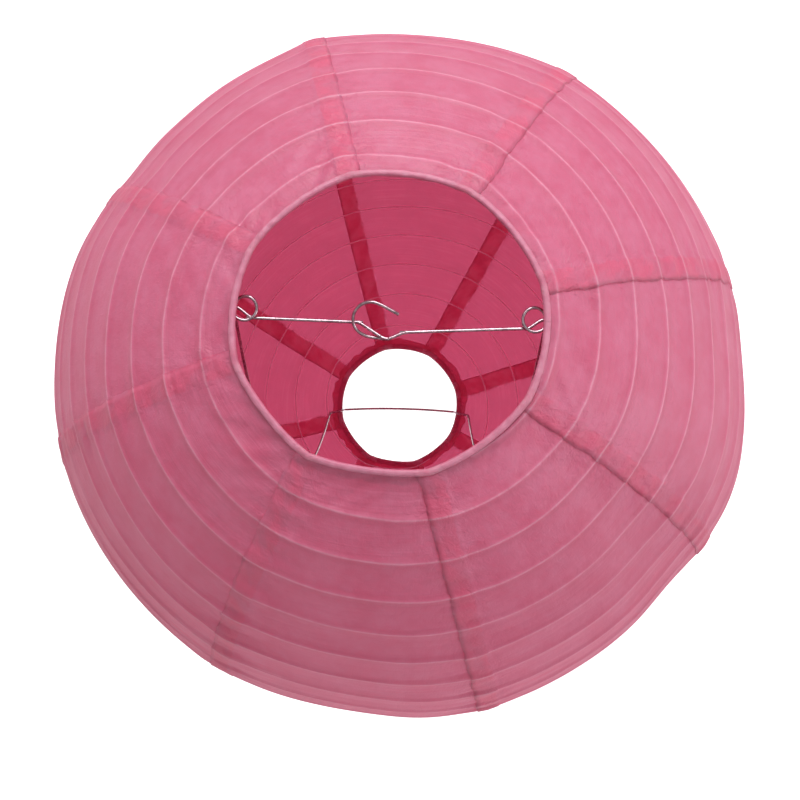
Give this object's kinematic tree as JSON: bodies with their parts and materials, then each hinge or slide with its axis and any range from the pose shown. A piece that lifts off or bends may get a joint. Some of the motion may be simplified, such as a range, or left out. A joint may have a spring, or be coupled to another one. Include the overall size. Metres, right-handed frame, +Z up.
{
  "type": "paper lantern",
  "caption": "Round collapsible paper lantern with glued paper gores over a spiral wire rib, open wire rims at top and bottom, and a removable wire expander with a hanging hook.",
  "frame": {"origin": "on the lantern's vertical axis at the height of the expander's crossbar, beside the hook that the lantern hangs from", "axes": "+Z up along the lantern's axis, through both openings; +X along the expander's crossbar; the expander's legs bow towards -Y"},
  "size_m": [0.2994, 0.2994, 0.2925],
  "materials": {
    "pink_paper": "thin dyed tissue paper, matt, lets light through",
    "rib_wire": "thin drawn wire under the paper",
    "rim_wire": "drawn wire wrapped by the paper's hem",
    "galvanised_wire": "bright galvanised wire"
  },
  "bodies": {
    "expander": {"wire_expander": "galvanised_wire"},
    "paper_body": {"paper_gore_1": "pink_paper", "paper_gore_2": "pink_paper", "paper_gore_3": "pink_paper", "paper_gore_4": "pink_paper", "paper_gore_5": "pink_paper", "paper_gore_6": "pink_paper", "paper_gore_7": "pink_paper", "paper_gore_8": "pink_paper", "spiral_rib": "rib_wire", "bottom_rim_ring": "rim_wire"},
    "top_rim": {"top_rim_ring": "rim_wire"}
  },
  "joints": [
    {"name": "lantern_off_frame", "type": "slide", "parent": "expander", "child": "paper_body", "axis": [0, 0, -1], "range_m": [0, 0.3], "deforming": ["wire_expander"]},
    {"name": "fold", "type": "slide", "parent": "paper_body", "child": "top_rim", "axis": [0, 0, -1], "range_m": [0, 0.26], "deforming": ["spiral_rib", "paper_gore_1", "paper_gore_2", "paper_gore_3", "paper_gore_4", "paper_gore_5", "paper_gore_6", "paper_gore_7", "paper_gore_8"]}
  ]
}
